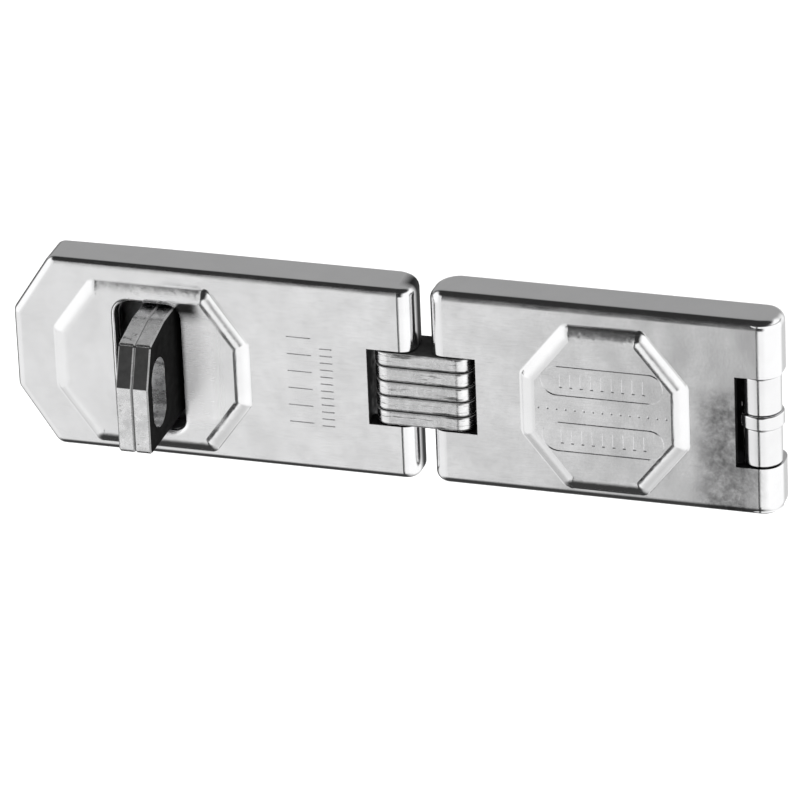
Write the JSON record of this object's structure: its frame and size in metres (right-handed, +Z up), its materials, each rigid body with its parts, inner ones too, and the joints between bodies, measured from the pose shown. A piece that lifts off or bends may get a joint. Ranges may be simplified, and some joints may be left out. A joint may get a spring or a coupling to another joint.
{
  "type": "double-jointed hasp and staple",
  "caption": "Plated steel hasp with hinged covers joined by a plate link; it folds over a riveted staple whose eye takes a padlock shackle, and hides every fixing.",
  "frame": {"origin": "centre of the hinge leaf's bolt pattern on the wall plane", "axes": "+X along the hasp from the staple end to the base hinge, -Y out of the wall, +Z up"},
  "size_m": [0.1952, 0.035, 0.0522],
  "materials": {
    "cover_chrome": "mirror polished plating",
    "pin_steel": "bright drawn bar",
    "link_steel": "plated plates with sheared edges",
    "leaf_steel": "bright plating",
    "staple_steel": "plated plates with sheared edges",
    "plate_steel": "zinc plated"
  },
  "bodies": {
    "base": {"hinge_leaf": "leaf_steel", "hinge_ring": "leaf_steel", "base_hinge_pin": "pin_steel", "staple_plate": "plate_steel", "staple_web_left": "staple_steel", "staple_web_right": "staple_steel", "staple_rivets": "pin_steel"},
    "hinge_cover": {"hinge_cover": "cover_chrome", "hinge_cover_lug_upper": "plate_steel", "hinge_cover_lug_lower": "plate_steel", "hinge_cover_notch_plate": "plate_steel", "hinge_cover_pin": "pin_steel"},
    "link": {"link_plate_1": "link_steel", "link_plate_2": "link_steel", "link_plate_3": "link_steel", "link_plate_4": "link_steel", "link_plate_5": "link_steel"},
    "staple_cover": {"staple_cover": "cover_chrome", "slot_liner": "plate_steel", "staple_cover_lug_upper": "plate_steel", "staple_cover_lug_lower": "plate_steel", "staple_cover_notch_plate": "plate_steel", "staple_cover_pin": "pin_steel"}
  },
  "joints": [
    {"name": "base_hinge", "type": "hinge", "parent": "base", "child": "hinge_cover", "pos_m": [0.0398, -0.008, 0], "axis": [0, 0, 1], "range_deg": [0, 180]},
    {"name": "link_hinge", "type": "hinge", "parent": "hinge_cover", "child": "link", "pos_m": [-0.0373, -0.0072, 0], "axis": [0, 0, 1], "range_deg": [0, 88]},
    {"name": "staple_cover_hinge", "type": "hinge", "parent": "link", "child": "staple_cover", "pos_m": [-0.0518, -0.0072, 0], "axis": [0, 0, 1], "range_deg": [0, 88]}
  ]
}
